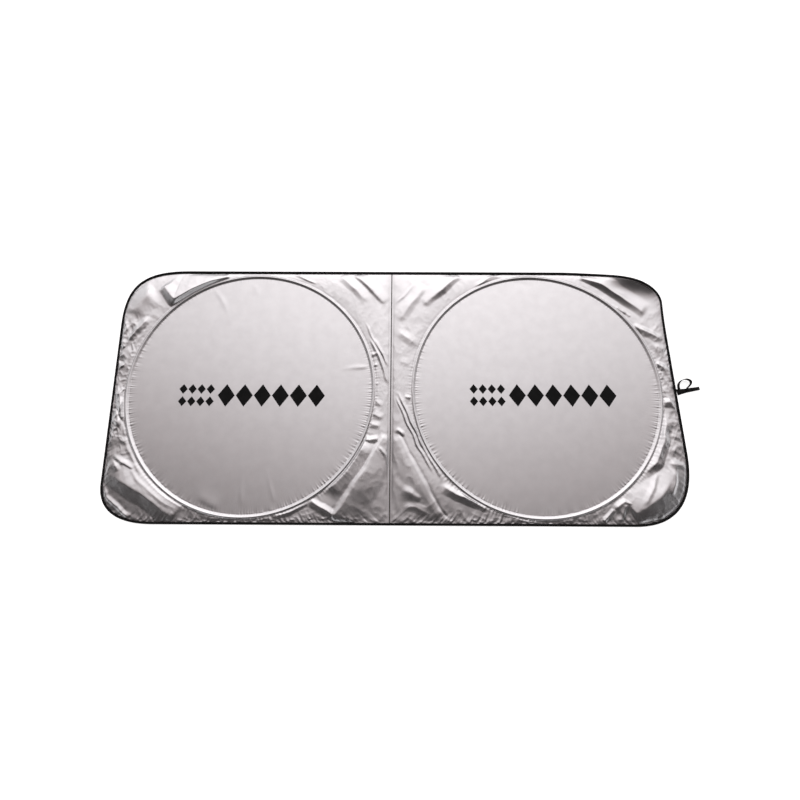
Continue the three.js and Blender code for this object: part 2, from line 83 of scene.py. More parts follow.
RING_SPACING = 2 * RING_RADIUS + RING_GAP
HALF_HEIGHT = RING_RADIUS + EDGE_MARGIN
LEFT_REACH = RING_SPACING / 2 + RING_RADIUS + LEFT_END_MARGIN
RIGHT_REACH = RING_SPACING / 2 + RING_RADIUS + RIGHT_END_MARGIN
SHEET_Z = CLOTH_Z + CLOTH_MID
SIDES = {"left": -1, "right": 1}

# How finely the cloth is stepped, and what counts as nothing
SPOKES = 1080
SURROUND_ROWS = 56
TINY = 1e-9
SAME_PLACE = 0.01

SEEDS = {
    "wander_x": 11, "wander_y": 12, "coarse": 31, "fine": 32, "gathers": 61, "puckers": 71,
    "ticks": 81, "binding": 101, "seam_shade_strip": 111, "ring_tape": 121,
}

# Swell of the loose cloth, and how soon it rises from the ring, the middle seam and the
# binding. It rises later from the binding along the lower edge
BILLOW = 5.5
RISE_FROM_RING = 22
RISE_FROM_SEAM = 14
RISE_FROM_RIM = 20
RISE_LATER_LOW = 45

# Steepest rise of the large forms from the binding, how much gentler it is at the ends of the
# shade, its start, and how softly and how far in it is rounded off
STEEPEST = 0.42
GENTLER_AT_ENDS = 0.16
RIM_STEP = 0.5
CAP_SOFTNESS = 0.09
CAP_SOFT_REACH = 22

# Parts of the lower half, as shares of the half height: where they start and are full
LOWER_EDGE = (0.6 * HALF_HEIGHT, 0.92 * HALF_HEIGHT)
LOWEST_EDGE = (0.8 * HALF_HEIGHT, 0.95 * HALF_HEIGHT)
LOWEST_EDGE_REACH = 10

# Distances over which the ring, the binding and the seam let go of the folds
RING_HOLD = (-0.5, 6)
GRIP_START, GRIP_REACH = 0.2, 8.2
SEAM_HOLD = (0, 5)

# How far the cloth may lie under its rest plane, how much less uneven it is at the curled
# corner, and how far its folds wander from their lines, over cells of noise
LOOSE_FLOOR = -0.1
CLOTH_FLOOR = -0.2
CALM_AT_CURL = 0.9
WANDER, WANDER_CELL = 2.2, 26

# How far the ridge's outer flank runs on into the loose cloth
FLANK_REACH = 7

# Ripples along the seams, each wave as a length and a strength: gathers at the binding,
# puckers outside and ticks inside a ring's seam, the binding's edge, the tape behind a ring
GATHERS = [(8, 0.5), (13, 0.65), (21, 0.6)]
GATHER_DEPTH, GATHER_MORE_BELOW, GATHER_LESS_ABOVE, GATHER_REACH = 0.65, 0.6, 0.45, 8
PUCKERS = [(7.2, 0.75), (10.5, 0.5), (23, 0.4)]
PUCKER_DEPTH, PUCKER_REACH = 0.5, 6
TICKS = [(5.6, 0.95), (9.7, 0.6), (27, 0.4)]
TICK_DEPTH, TICK_REACH, TICK_PINCH = 0.9, 4, 0.25
TICKS_ABOVE, TICKS_FROM = 0.3, 170
BINDING_WAVES = [(9, 0.25), (17, 0.35)]
TAPE_WAVES = [(31, 0.8), (12, 0.4)]
# How much each wave drifts and deepens, and over how many of its lengths
WAVE_DRIFT, DRIFT_LENGTHS = 2.4, 3.1
WAVE_DEPTH, DEPTH_LENGTHS = 0.6, 4.3

# Random creases of the loose cloth. Each set's cell and seed, its stretch and slant of x and
# of y, and its height all over, at the ends of the shade and along the lowest edge
CRUMPLES = [
    (21, "coarse", (1.1, 0.5), (0.7, -0.5), (0.28, 1.15, 0.6)),
    (10, "fine", (1.0, -0.5), (0.9, 0.3), (0.1, 0.4, 0.65)),
]
CRUMPLED_END = (235, 295)
CRUMPLED_HEIGHT = (130, 210)
CRUMPLED_RIGHT = 0.55

# Every fold is rounded at its crest over this share of its slope, and falls as this power
CREST_ROUNDING = 0.05
FOLD_FALL = 1.25

# Folds of the loose cloth, in millimetres: the crest's points, its height at each, the widths
# of the slopes left and right of it seen along the crest, and how soon it fades at its ends
FOLDS = {
    "left": [
        ([(-562, 262), (-528, 221), (-494, 241), (-450, 268), (-398, 285)],
         [5, 10.5, 10.5, 7.5, 2], 46, 18, 0.06),
        ([(-640, 184), (-610, 230), (-578, 250)], [5, 11, 8], 24, 44, 0.3),
        ([(-628, 114), (-604, 150), (-584, 180)], [2.5, 4.5, 3], 12, 10, 0.25),
        ([(-640, 12), (-622, -34), (-613, -80)], [4, 5.5, 3], 13, 12, 0.25),
        ([(-638, -46), (-614, -90)], [5, 5], 9, 14, 0.25),
        ([(-622, -152), (-600, -169), (-564, -184)], [3, 3.5, 2], 11, 9, 0.25),
        ([(-640, -184), (-590, -210), (-545, -236), (-505, -262), (-466, -288)],
         [3.4, 6, 6.4, 5.6, 3], 44, 25, 0.06),
        ([(-134, 288), (-95, 250), (-60, 216)], [2.5, 3.2, 1.5], 22, 12, 0.15),
        ([(-99, 294), (-57, 250), (-18, 210)], [3, 4.6, 1.5], 24, 7, 0.12),
        ([(-82, -110), (-52, -117), (-26, -109)], [3, 4, 2], 9, 15, 0.2),
        ([(-14, -99), (-68, -193), (-132, -290)], [2.5, 6, 7], 52, 11, 0.06),
        ([(-60, -104), (-72, -138), (-102, -184), (-150, -232)], [4.5, 8, 8, 5], 40, 7, 0.2),
        ([(-182, -246), (-150, -262), (-120, -286)], [2.5, 4, 3], 10, 14, 0.2),
        ([(-262, -282), (-222, -272), (-178, -248)], [2, 2.5, 2], 7, 9, 0.2),
    ],
    "right": [
        ([(160, 294), (116, 248), (66, 210)], [4, 6, 1.5], 12, 26, 0.1),
        ([(76, 262), (38, 205), (11, 166)], [2.4, 3.6, 1.5], 14, 22, 0.15),
        ([(264, 297), (225, 277), (190, 258)], [2, 2.4, 1], 8, 8, 0.25),
        ([(452, 292), (500, 266), (546, 231), (600, 188)], [5, 7, 7, 3], 30, 12, 0.08),
        ([(566, 160), (600, 143), (634, 124)], [3, 4.2, 3], 11, 13, 0.2),
        ([(610, 68), (630, 52), (648, 30)], [3, 4, 3], 11, 10, 0.15),
        ([(610, -30), (630, -26), (648, -30)], [3, 4, 3], 12, 13, 0.2),
        ([(618, -56), (605, -112), (582, -162), (552, -190)], [3, 5.5, 5.5, 2], 17, 12, 0.2),
        ([(652, -170), (628, -203), (598, -230), (560, -250), (516, -278)],
         [6, 11, 13, 11, 5], 64, 46, 0.06),
        ([(476, -266), (503, -247), (534, -262)], [3, 4.5, 3], 10, 26, 0.2),
        ([(13, -96), (42, -151), (77, -215), (119, -287)], [-1.2, -1.8, -2.2, -2.2], 5, 15, 0.06),
        ([(8, -96), (36, -150), (71, -214), (113, -286)], [1.6, 2.8, 3.4, 3.6], 9, 40, 0.1),
        ([(8, -88), (20, -100), (22, -112)], [1.5, 2.6, 1.5], 7, 9, 0.25),
        ([(104, -212), (140, -234), (180, -251), (218, -262)], [2, 4.6, 4.6, 2], 9, 14, 0.15),
        ([(14, -226), (44, -232), (74, -248)], [2, 3.2, 2], 16, 20, 0.3),
    ],
}

# Small creases, added on top
CREASES = {
    "left": [
        ([(-650, 172), (-638, 158), (-630, 138)], [2.2, 2.4, 2], 7, 6, 0.2),
        ([(-650, 120), (-634, 98)], [2, 2], 8, 7, 0.2),
        ([(-650, 66), (-630, 50)], [2.2, 2], 8, 7, 0.2),
        ([(-640, -82), (-622, -96)], [1.8, 1.6], 6, 6, 0.2),
        ([(-636, -98), (-626, -112)], [1.4, 1.4], 5, 5, 0.2),
        ([(-619, -162), (-602, -190)], [1.6, 1.4], 7, 7, 0.3),
        ([(-610, -95), (-592, -138), (-566, -178), (-540, -208)], [0.5, 0.9, 0.9, 0.5], 6, 6, 0.3),
        ([(-596, -160), (-560, -204), (-505, -247), (-448, -276)], [0.5, 0.9, 0.9, 0.5], 7, 6, 0.3),
        ([(-634, -236), (-600, -262), (-566, -287)], [2, 2.6, 2], 8, 7, 0.15),
        ([(-644, -214), (-622, -240)], [1.8, 1.8], 7, 6, 0.2),
        ([(-58, 132), (-36, 86), (-20, 40), (-10, 6)], [1.4, 2.6, 2.2, 1.0], 5, 5, 0.2),
        ([(-46, 128), (-26, 86), (-12, 52)], [1.2, 2.0, 1.0], 5, 4, 0.2),
        ([(-70, 170), (-44, 116), (-20, 72)], [0.8, 1.4, 0.8], 4, 4, 0.2),
        ([(-56, 84), (-36, 88)], [2, 1.8], 5, 6, 0.3),
        ([(-50, 58), (-36, 62)], [1.8, 1.4], 5, 6, 0.3),
        ([(-48, 22), (-34, 10)], [1.0, 1.0], 7, 7, 0.35),
        ([(-50, -18), (-26, -40)], [1.3, 1.3], 9, 8, 0.35),
        ([(-52, -52), (-22, -68)], [1.8, 1.4], 12, 9, 0.35),
        ([(-62, -76), (-26, -86)], [1.6, 1.4], 10, 9, 0.35),
        ([(-30, -128), (-16, -150), (-9, -176)], [1.6, 1.8, 1], 6, 6, 0.2),
        ([(-252, 295), (-215, 278), (-184, 262)], [1.2, 1.6, 0.8], 6, 5, 0.2),
    ],
    "right": [
        ([(50, 264), (5, 214)], [1.2, 1.4], 4, 4, 0.2),
        ([(6, 148), (34, 126), (58, 104)], [1.6, 2.2, 1.4], 14, 13, 0.3),
        ([(12, 70), (40, 62)], [0.8, 0.8], 12, 12, 0.35),
        ([(26, -14), (44, -20)], [1.6, 1.6], 6, 6, 0.3),
        ([(10, -4), (36, -62), (62, -116), (93, -173), (110, -210)],
         [1.4, 3, 3.4, 2.8, 1.2], 6, 5, 0.12),
        ([(4, -14), (26, -62), (48, -110), (74, -160), (92, -196)],
         [1.2, 2.2, 2.4, 1.8, 0.8], 5, 4, 0.12),
        ([(18, -258), (50, -262), (84, -278)], [1.4, 1.8, 1.2], 12, 10, 0.3),
        ([(114, -194), (160, -242), (212, -263)], [1, 1.4, 1], 4, 4, 0.2),
        ([(230, -275), (290, -289), (342, -291)], [0.8, 1, 0.7], 4, 3, 0.2),
        ([(524, 216), (546, 196)], [1.4, 1.4], 4, 4, 0.2),
        ([(534, 210), (556, 190)], [1.4, 1.4], 4, 4, 0.2),
        ([(546, 202), (566, 182)], [1.4, 1.4], 4, 4, 0.2),
        ([(608, 112), (642, 98)], [1.6, 1.6], 12, 16, 0.3),
        ([(622, -100), (648, -110)], [1.2, 1.2], 9, 9, 0.3),
        ([(618, -134), (646, -146)], [1.2, 1.2], 9, 9, 0.3),
        ([(606, -164), (646, -170)], [1.8, 1.8], 9, 10, 0.3),
        ([(580, -182), (566, -216), (540, -258)], [1.6, 2.2, 1.4], 7, 8, 0.2),
        ([(622, -178), (612, -208), (602, -238)], [1.6, 2.2, 1.4], 7, 10, 0.2),
        ([(455, -290), (478, -262)], [2, 1.6], 7, 7, 0.15),
        ([(488, -290), (506, -254)], [2, 1.6], 8, 7, 0.15),
    ],
}

# Faint marks on the discs inside the rings
MARKS = {
    "left": [
        ([(-110, 56), (-80, 54), (-56, 56)], [0.5, 1, 0.8], 8, 7, 0.25),
        ([(-442, 254), (-418, 226), (-394, 190)], [0.4, 0.7, 0.3], 9, 9, 0.3),
        ([(-346, 264), (-324, 236)], [0.5, 0.4], 8, 8, 0.3),
        ([(-434, -236), (-404, -252), (-368, -268)], [0.4, 0.8, 0.4], 22, 9, 0.35),
        ([(-334, -208), (-326, -262)], [0.3, 0.3], 8, 8, 0.3),
        ([(-272, -206), (-256, -254)], [0.3, 0.3], 8, 8, 0.3),
    ],
    "right": [
        ([(292, 270), (316, 266), (340, 262)], [-1, -1.4, -1], 7, 7, 0.2),
        ([(198, -202), (214, -226)], [0.35, 0.35], 7, 7, 0.3),
        ([(238, -216), (250, -258)], [0.35, 0.3], 8, 8, 0.3),
    ],
}


def smoothstep(value, start, end):
    t = np.clip((value - start) / (end - start), 0.0, 1.0)
    return t * t * (3 - 2 * t)


def value_noise(x, y, cell, seed):
    """Smooth noise from -1 to 1, from a seeded grid that repeats."""
    size = 64
    grid = np.random.RandomState(seed).uniform(-1, 1, (size, size))
    u, v = x / cell, y / cell
    i, j = np.floor(u).astype(int), np.floor(v).astype(int)
    fu, fv = smoothstep(u - i, 0, 1), smoothstep(v - j, 0, 1)
    low = grid[i % size, j % size] * (1 - fu) + grid[(i + 1) % size, j % size] * fu
    high = grid[i % size, (j + 1) % size] * (1 - fu) + grid[(i + 1) % size, (j + 1) % size] * fu
    return low * (1 - fv) + high * fv


# Outline of the cloth, anticlockwise
def corner_point(sign_x, sign_y):
    y = sign_y * HALF_HEIGHT
    x = -LEFT_REACH if sign_x < 0 else RIGHT_REACH
    return np.array([x - SIDE_LEAN * y, y])


def outline_points(steps=48):
    bl, br = corner_point(-1, -1), corner_point(1, -1)
    tr, tl = corner_point(1, 1), corner_point(-1, 1)
    points = [np.array([SEAM_X, -HALF_HEIGHT])]

    def round_corner(corner, before, at, after, swap):
        along, down, fullness = corner
        reach = (down, along) if swap else (along, down)
        back = (before - at) / np.linalg.norm(before - at)
        ahead = (after - at) / np.linalg.norm(after - at)
        lengths = [share * 2 * HALF_HEIGHT for share in reach]
        start, end = at + back * lengths[0], at + ahead * lengths[1]
        first = at + back * lengths[0] * (1 - fullness)
        second = at + ahead * lengths[1] * (1 - fullness)
        for t in np.linspace(0, 1, steps + 1):
            weights = ((1 - t) ** 3, 3 * t * (1 - t) ** 2, 3 * t * t * (1 - t), t ** 3)
            points.append(sum(w * p for w, p in zip(weights, (start, first, second, end))))

    round_corner(CORNERS["bottom_right"], bl, br, tr, False)
    round_corner(CORNERS["top_right"], br, tr, tl, True)
    round_corner(CORNERS["top_left"], tr, tl, bl, False)
    round_corner(CORNERS["bottom_left"], tl, bl, br, True)
    points.append(points[0])
    return np.array(points)


OUTLINE = outline_points()


def binding_reach(inward):
    """Width of binding that shows above the cloth, from the direction into the cloth."""
    across = np.where(inward[:, 0] > 0, BINDING_SHOWN["left"], BINDING_SHOWN["right"])
    upright = np.where(inward[:, 1] > 0, BINDING_SHOWN["bottom"], BINDING_SHOWN["top"])
    return inward[:, 0] ** 2 * across + inward[:, 1] ** 2 * upright


def outline_distance(x, y):
    nearest = np.full(x.shape, np.inf)
    for a, b in zip(OUTLINE[:-1], OUTLINE[1:]):
        edge = b - a
        if edge @ edge < TINY:
            continue
        t = np.clip(((x - a[0]) * edge[0] + (y - a[1]) * edge[1]) / (edge @ edge), 0, 1)
        nearest = np.minimum(nearest, np.hypot(x - a[0] - t * edge[0], y - a[1] - t * edge[1]))
    return nearest


def border_at(side, bearings):
    """Where rays from a ring's centre meet the outline or the middle seam."""
    centre_x = SIDES[side] * RING_SPACING / 2
    ray = np.stack([np.cos(bearings), np.sin(bearings)], 1)
    a, b = OUTLINE[:-1], OUTLINE[1:]
    edge = b - a
    turn = ray[:, None, 0] * edge[None, :, 1] - ray[:, None, 1] * edge[None, :, 0]
    turn = np.where(np.abs(turn) < TINY, np.nan, turn)
    from_x = a[:, 0] - centre_x
    distance = (from_x * edge[:, 1] - a[:, 1] * edge[:, 0])[None] / turn
    along = (from_x[None] * ray[:, None, 1] - a[None, :, 1] * ray[:, None, 0]) / turn
    found = (distance > 0) & (along >= -TINY) & (along <= 1 + TINY)
    distance = np.where(found, distance, np.inf)
    nearest = distance.argmin(1)
    reach = distance[np.arange(len(bearings)), nearest]
    inward = np.stack([-edge[nearest, 1], edge[nearest, 0]], 1)
    inward /= np.linalg.norm(inward, axis=1)[:, None]
    to_seam = (SEAM_X - centre_x) / ray[:, 0]
    faces_seam = (to_seam > 0) & (to_seam < reach)
    reach = np.where(faces_seam, to_seam, reach)
    normal = np.where(faces_seam[:, None], [SIDES[side], 0], inward)
    point = ray * reach[:, None]
    point[:, 0] += centre_x
    return point, normal, inward, faces_seam, ray


def spoke_bearings(side):
    centre_x = SIDES[side] * RING_SPACING / 2
    seam = math.atan2(HALF_HEIGHT, SEAM_X - centre_x)
    step = 2 * math.pi / SPOKES
    bearings = np.arange(SPOKES) * step
    for target in (seam, 2 * math.pi - seam):
        bearings[round(target / step) % SPOKES] = target
    return bearings


def spoke_ends(side, bearings):
    """Outer foot of the ridge, last loose point and edge of each spoke."""
    centre_x = SIDES[side] * RING_SPACING / 2
    point, normal, inward, faces_seam, ray = border_at(side, bearings)
    foot = ray * (RING_RADIUS + RIDGE_HALF)
    foot[:, 0] += centre_x
    at_end = np.abs(np.abs(point[:, 1]) - HALF_HEIGHT) < SAME_PLACE
    at_end &= np.abs(point[:, 0] - SEAM_X) < SAME_PLACE
    visible = binding_reach(inward) + CLEARANCE
    at_seam = faces_seam | at_end
    inset = np.where(at_seam, SEAM_FLAT, visible)
    tuck = np.where(at_seam, SEAM_TUCK, EDGE_TUCK)
    normal = np.where(at_seam[:, None], [SIDES[side], 0], normal)
    loose, edge = point + normal * inset[:, None], point + normal * tuck[:, None]
    # Along the seam the spokes draw in evenly, so that the end ones meet the binding
    upright = np.stack([np.zeros(len(point)), -np.sign(point[:, 1])], 1)
    end_gap = binding_reach(upright) + CLEARANCE
    loose[:, 1] *= np.where(at_seam, 1 - end_gap / HALF_HEIGHT, 1)
    edge[:, 1] *= np.where(at_seam, 1 - EDGE_TUCK / HALF_HEIGHT, 1)
    # The outer spokes next to the seam keep clear of its end ones
    for places, flat in ((loose, SEAM_FLAT), (edge, SEAM_TUCK)):
        beside = SIDES[side] * (places[:, 0] - SEAM_X)
        apart = np.maximum(beside, flat + SEAM_FAN * beside)
        places[:, 0] = np.where(at_seam, places[:, 0], SEAM_X + SIDES[side] * apart)
    return point, inward, at_seam, foot, loose, edge, ray, visible


def fold_height(x, y, fold):
    """Height of one fold: steep at its crest, easing out at its foot, fading at its ends."""
    points, heights, left, right, taper = fold
    points = np.array(points, float)
    runs = np.diff(points, axis=0)
    lengths = np.linalg.norm(runs, axis=1)
    starts = np.concatenate([[0], np.cumsum(lengths)]) / lengths.sum()
    best = np.full(x.shape, np.inf)
    along, turn = np.zeros_like(x), np.zeros_like(x)
    for k, run in enumerate(runs):
        dx, dy = x - points[k, 0], y - points[k, 1]
        t = np.clip((dx * run[0] + dy * run[1]) / lengths[k] ** 2, 0, 1)
        away = np.hypot(dx - t * run[0], dy - t * run[1])
        near = away < best
        best = np.where(near, away, best)
        along = np.where(near, starts[k] + t * (starts[k + 1] - starts[k]), along)
        turn = np.where(near, run[0] * dy - run[1] * dx, turn)
    t = best / np.where(turn > 0, left, right)
    t = np.sqrt(t * t + CREST_ROUNDING ** 2) - CREST_ROUNDING
    fall = np.maximum(1 - t, 0) ** FOLD_FALL
    fade = smoothstep(along, 0, taper) * (1 - smoothstep(along, 1 - taper, 1))
    return np.interp(along, starts, heights) * fall * fade


def corner_spread(side, x, y):
    """Nearness to the curled corner's bearing, from 0 to 1."""
    if side == "left":
        return np.zeros_like(x)
    turned = np.arctan2(y, x - RING_SPACING / 2) - math.radians(CURL_BEARING)
    sideways = np.arctan2(np.sin(turned), np.cos(turned)) * RING_RADIUS
    return np.exp(-((sideways / CURL_SPREAD) ** 2))


def corner_curl(side, x, y, inset):
    """Lift of the top right corner, from the distance to the border."""
    free = np.maximum(inset - CURL_START, 0)
    share = np.maximum(1 - free / CURL_REACH, 0) ** 2
    return CURL_HEIGHT * corner_spread(side, x, y) * share


def ridge_lift(side, bearings):
    turned = bearings - math.radians(FERRULE_BEARING[side])
    away = np.abs(np.arctan2(np.sin(turned), np.cos(turned))) * RING_RADIUS
    return RIDGE_LIFT + FERRULE_BUMP * (1 - smoothstep(away, FERRULE_LENGTH, 2 * FERRULE_LENGTH))


def wavy(t, waves, seed):
    """Uneven ripple along a length t, from a few wavelengths with wandering strength."""
    rng = np.random.RandomState(seed)
    total = np.zeros_like(t)
    for wavelength, strength in waves:
        drift_cell, depth_cell = wavelength * DRIFT_LENGTHS, wavelength * DEPTH_LENGTHS
        drift = value_noise(t, t * 0 + seed, drift_cell, seed + int(wavelength))
        depth = WAVE_DEPTH + WAVE_DEPTH * value_noise(t, t * 0 + 7, depth_cell, seed + 50)
        turn = 2 * math.pi * t / wavelength + rng.uniform(0, 6.28) + WAVE_DRIFT * drift
        total += strength * depth * np.sin(turn)
    return total


def crumples(side, x, y, low):
    """Crisp random creases, strongest in the narrow cloth at the ends of the shade."""
    outward = SIDES[side] * (x - SIDES[side] * RING_SPACING / 2)
    ends = smoothstep(outward, *CRUMPLED_END) * (1 - smoothstep(np.abs(y), *CRUMPLED_HEIGHT))
    ends = ends * (CRUMPLED_RIGHT if side == "right" else 1)
    total = np.zeros_like(x)
    for cell, seed, (stretch_x, slant_x), (stretch_y, slant_y), heights in CRUMPLES:
        u = stretch_x * x + slant_x * SIDES[side] * y
        v = stretch_y * y + slant_y * SIDES[side] * x
        crease = 1 - 2 * np.abs(value_noise(u, v, cell, SEEDS[seed]))
        all_over, at_ends, low_down = heights
        total += (all_over + at_ends * ends + low_down * low) * crease
    return total


def ticks_below(y):
    """Share of the ring seam's puckers: few along the upper arc, most from the middle down."""
    return TICKS_ABOVE + (1 - TICKS_ABOVE) * smoothstep(-y, -TICKS_FROM, 0)


def smooth_minimum(first, second, soft):
    """The lower of two heights, rounded where they meet."""
    return (first + second - np.sqrt((first - second) ** 2 + soft ** 2)) / 2


def surround_height(side, x, y, border):
    """Height of the loose cloth over its rest plane, from its distance to what holds it."""
    inward, arc, visible, lift, bearings = border
    centre_x = SIDES[side] * RING_SPACING / 2
    ring = np.hypot(x - centre_x, y) - RING_RADIUS - RIDGE_HALF
    to_outline = outline_distance(x, y)
    rim = to_outline - visible[:, None]
    seam = np.abs(x - SEAM_X) - SEAM_FLAT
    wx = x + WANDER * value_noise(x, y, WANDER_CELL, SEEDS["wander_x"])
    wy = y + WANDER * value_noise(x, y, WANDER_CELL, SEEDS["wander_y"])
    highs, lows = np.zeros_like(x), np.zeros_like(x)
    for fold in FOLDS[side]:
        height = fold_height(wx, wy, fold)
        highs, lows = np.maximum(highs, height), np.minimum(lows, height)
    small = sum(fold_height(wx, wy, crease) for crease in CREASES[side])
    calm = 1 - CALM_AT_CURL * corner_spread(side, x, y)
    ease = RISE_FROM_RIM + RISE_LATER_LOW * smoothstep(-y, *LOWER_EDGE)
    swell = BILLOW * (1 - np.exp(-ring / RISE_FROM_RING)) * (1 - np.exp(-rim / ease))
    swell = swell * (1 - np.exp(-seam / RISE_FROM_SEAM))
    # The large forms don't drop steeply to the binding
    steepest = (STEEPEST - GENTLER_AT_ENDS * np.abs(inward[:, 0]))[:, None]
    cap = RIM_STEP + steepest * np.maximum(rim, 0)
    soft = CAP_SOFTNESS * np.clip(rim, 0, CAP_SOFT_REACH)
    eased = smooth_minimum(swell * calm + highs, cap, soft)
    low = smoothstep(-y, *LOWEST_EDGE) * np.exp(-rim / LOWEST_EDGE_REACH)
    loose = eased + crumples(side, wx, wy, low) * calm + lows + small
    grip = 1 - (1 - np.clip((rim + GRIP_START) / GRIP_REACH, 0, 1)) ** 2
    hold = smoothstep(ring, *RING_HOLD) * grip * smoothstep(seam, *SEAM_HOLD)
    bottom, top = np.maximum(inward[:, 1], 0) ** 2, np.maximum(-inward[:, 1], 0) ** 2
    strength = (GATHER_DEPTH + GATHER_MORE_BELOW * bottom - GATHER_LESS_ABOVE * top)[:, None] * calm
    ripple = wavy(arc, GATHERS, SEEDS["gathers"])[:, None]
    gather = strength * ripple * np.exp(-rim / GATHER_REACH)
    gather = gather * smoothstep(rim, 0, 2) * smoothstep(seam, 0, 8)
    ticks = wavy(bearings * RING_RADIUS, PUCKERS, SEEDS["puckers"])[:, None]
    pucker = PUCKER_DEPTH * ticks_below(y) * ticks * np.exp(-ring / PUCKER_REACH)
    pucker = pucker * smoothstep(ring, -0.5, 2) * smoothstep(rim, 0, 4)
    flank = lift[:, None] * RIDGE_PROFILE[-1][1]
    flank = flank * np.exp(-ring / FLANK_REACH) * smoothstep(rim, 0, 8)
    height = flank + np.maximum(loose, LOOSE_FLOOR) * hold + gather + pucker
    return np.maximum(height, CLOTH_FLOOR) + corner_curl(side, x, y, to_outline)


# Disc rows, and the ridge over the wire: distance from the wire and share of the full lift.
# The inner flank is the steep one, and the outer one runs on into the loose cloth
DISC_RADII = [60, 120, 170, 205, 228, 242, 252, 260, 266, 270.5, 273.4, 275.4, 276.8, 278.1]
RIDGE_PROFILE = [
    (-5.5, 0.0), (-5.0, 0.05), (-4.2, 0.17), (-3.3, 0.35), (-2.3, 0.56), (-1.4, 0.75),
    (-0.5, 0.93), (0.3, 1.0), (1.0, 0.96), (1.8, 0.84), (2.6, 0.69), (3.2, 0.59), (3.8, 0.5),
]


def panel_rows(side):
    """Points of one panel, spoke by spoke, from the disc's middle to the edge."""
    centre_x = SIDES[side] * RING_SPACING / 2
    bearings = spoke_bearings(side)
    point, inward, faces_seam, foot, loose, edge, ray, visible = spoke_ends(side, bearings)
    steps = np.linalg.norm(np.roll(point, -1, 0) - point, axis=1)
    arc = np.concatenate([[0], np.cumsum(steps)[:-1]])
    lift = ridge_lift(side, bearings)
    tick = wavy(bearings * RING_RADIUS, TICKS, SEEDS["ticks"])
    rows = []
    for radius in DISC_RADII:
        x, y = centre_x + ray[:, 0] * radius, ray[:, 1] * radius
        inner = RING_RADIUS + RIDGE_PROFILE[0][0] - radius
        height = TICK_DEPTH * ticks_below(y) * tick * np.exp(-inner / TICK_REACH)
        height = height * smoothstep(inner, -1, 2)
        height = height + sum(fold_height(x, y, mark) for mark in MARKS[side])
        rows.append(np.stack([x, y, SHEET_Z + np.maximum(height, CLOTH_FLOOR)], 1))
    for offset, share in RIDGE_PROFILE:
        radius = RING_RADIUS + offset
        pinch = TICK_PINCH * tick * (1 - share)
        x, y = centre_x + ray[:, 0] * radius, ray[:, 1] * radius
        rows.append(np.stack([x, y, SHEET_Z + lift * share + pinch], 1))
    shares = np.linspace(0, 1, SURROUND_ROWS + 1)[1:]
    flat = foot[:, None] + (loose - foot)[:, None] * shares[None, :, None]
    x, y = flat[..., 0], flat[..., 1]
    height = surround_height(side, x, y, (inward, arc, visible, lift, bearings))
    surround = np.stack([x, y, SHEET_Z + height], 2)
    curl = corner_curl(side, edge[:, 0], edge[:, 1], np.zeros(len(edge)))
    sunk = np.where(faces_seam, SEAM_SINK, 0.0)
    last = np.stack([edge[:, 0], edge[:, 1], SHEET_Z - sunk + curl], 1)
    return np.concatenate([np.stack(rows, 1), surround, last[:, None]], 1)


# Mesh making
def make_mesh(name, points, faces, smooth=True):
    mesh = bpy.data.meshes.new(name)
    mesh.from_pydata((np.asarray(points) * MM).tolist(), [], faces)
    mesh.validate()
    mesh.update()
    if smooth:
        mesh.polygons.foreach_set("use_smooth", [True] * len(mesh.polygons))
    obj = bpy.data.objects.new(name, mesh)
    bpy.context.scene.collection.objects.link(obj)
    return obj


def make_panel(side):
    rows = panel_rows(side)
    spokes, count = rows.shape[:2]
    centre = [SIDES[side] * RING_SPACING / 2, 0, SHEET_Z]
    points = np.concatenate([[centre], rows.reshape(-1, 3)])
    i = np.arange(spokes)
    after = (i + 1) % spokes
    faces = [(0, 1 + a * count, 1 + b * count) for a, b in zip(i.tolist(), after.tolist())]
    for j in range(count - 1):
        here, there = 1 + i * count + j, 1 + after * count + j
        quad = np.stack([here, here + 1, there + 1, there], 1)
        faces.extend(map(tuple, quad.tolist()))
    return make_mesh(f"{side}_panel_cloth", points, faces)


def sweep_faces(stations, size, closed):
    faces = []
    for k in range(stations if closed else stations - 1):
        n = (k + 1) % stations
        for j in range(size):
            after = (j + 1) % size
            faces.append((k * size + j, k * size + after, n * size + after, n * size + j))
    return faces


def resample(points, spacing):
    steps = np.linalg.norm(np.diff(points, axis=0), axis=1)
    along = np.concatenate([[0], np.cumsum(steps)])
    count = int(along[-1] / spacing)
    t = np.linspace(0, along[-1], count, endpoint=False)
    return np.stack([np.interp(t, along, points[:, k]) for k in range(2)], 1), t


def border_frame(spacing):
    path, t = resample(OUTLINE, spacing)
    tangent = np.roll(path, -1, 0) - np.roll(path, 1, 0)
    tangent /= np.linalg.norm(tangent, axis=1)[:, None]
    inward = np.stack([-tangent[:, 1], tangent[:, 0]], 1)
    curl = corner_curl("right", path[:, 0], path[:, 1], np.zeros(len(path)))
    curl[path[:, 0] < SEAM_X] = 0
    return path, t, inward, curl


# Folded tape round the edge: its section, as a share of its width and a height. The part
# above UPPER_FOLD is the one that shows, and ripples in width and height
BINDING_SECTION = [
    (1, 0.05), (0.15, 0.03), (0.05, 0.35), (0.01, 1.25), (0.05, 2.15), (0.15, 2.45), (0.5, 2.52),
    (0.92, 2.45), (1, 2.25), (1, 1.95), (0.2, 1.85), (0.09, 1.25), (0.2, 0.65), (1, 0.5),
]
BINDING_STEP = 2.6
UPPER_FOLD = 1.9
BINDING_RIPPLE = (0.4, 0.16)
BINDING_FLOOR = 0.02


